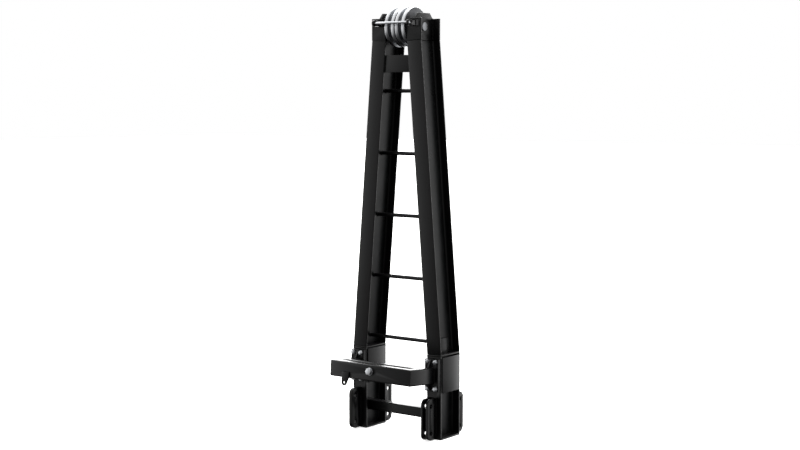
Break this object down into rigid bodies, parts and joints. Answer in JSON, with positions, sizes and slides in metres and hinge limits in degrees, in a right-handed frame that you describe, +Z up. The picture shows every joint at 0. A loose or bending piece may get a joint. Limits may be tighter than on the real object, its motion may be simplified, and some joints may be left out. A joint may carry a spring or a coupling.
{
  "type": "hoist mast",
  "caption": "A-frame hoist mast of leaning H-beams with ladder rungs, twin rope sheaves at the crown, a bolted U-shaped front beam and clevis feet.",
  "frame": {"origin": "on the ground, below the middle of the whole part's bounding box", "axes": "+X to the mast's right as seen from its front, +Y from the U beam towards the legs, +Z up"},
  "size_m": [0.548, 0.4564, 2.083],
  "materials": {
    "black_paint": "satin black paint over welded steel",
    "zinc_plate": "bright zinc plate",
    "sheave_steel": "turned steel, bright zinc plate",
    "axle_steel": "ground steel",
    "bearing_bronze": "machined bearing bronze"
  },
  "bodies": {
    "mast": {"left_foot_plate": "black_paint", "right_foot_plate": "black_paint", "left_stub": "black_paint", "right_stub": "black_paint", "left_splice_plate": "black_paint", "right_splice_plate": "black_paint", "left_leg": "black_paint", "right_leg": "black_paint", "left_web_doubler": "black_paint", "right_web_doubler": "black_paint", "left_front_lug": "black_paint", "left_rear_ears": "black_paint", "right_front_ears": "black_paint", "right_rear_ears": "black_paint", "left_boxing_plates": "black_paint", "right_boxing_plates": "black_paint", "lower_cross_tube": "black_paint", "tie_plate": "black_paint", "rung_1": "black_paint", "rung_2": "black_paint", "rung_3": "black_paint", "rung_4": "black_paint", "rung_5": "black_paint", "left_head_front": "black_paint", "right_head_front": "black_paint", "left_head_rear": "black_paint", "right_head_rear": "black_paint", "left_cheek": "black_paint", "right_cheek": "black_paint", "left_keeper_lug": "black_paint", "right_keeper_lug": "black_paint", "left_bracket_plate": "black_paint", "right_bracket_plate": "black_paint", "upper_gussets": "black_paint", "lower_gussets": "black_paint", "front_bar": "black_paint", "inner_bar": "black_paint", "left_arm": "black_paint", "right_arm": "black_paint", "hook_lug": "black_paint", "axle_keeper_plate": "black_paint", "axle_keeper_screws": "black_paint", "keeper_rod": "zinc_plate", "bracket_bolts": "zinc_plate", "bracket_washers": "zinc_plate", "bracket_nuts": "zinc_plate", "centre_bolt": "zinc_plate", "centre_washers": "zinc_plate", "centre_nut": "zinc_plate", "axle": "axle_steel", "left_spacer": "axle_steel", "right_spacer": "axle_steel", "thrust_washer": "bearing_bronze"},
    "left_pulley": {"left_sheave": "sheave_steel", "left_bush": "bearing_bronze"},
    "right_pulley": {"right_sheave": "sheave_steel", "right_bush": "bearing_bronze"}
  },
  "joints": [
    {"name": "left_sheave_spin", "type": "hinge", "parent": "mast", "child": "left_pulley", "pos_m": [-0.031, 0.07821, 1.987], "axis": [1, 0, 0], "continuous": true},
    {"name": "right_sheave_spin", "type": "hinge", "parent": "mast", "child": "right_pulley", "pos_m": [0.031, 0.07821, 1.987], "axis": [1, 0, 0], "continuous": true}
  ]
}
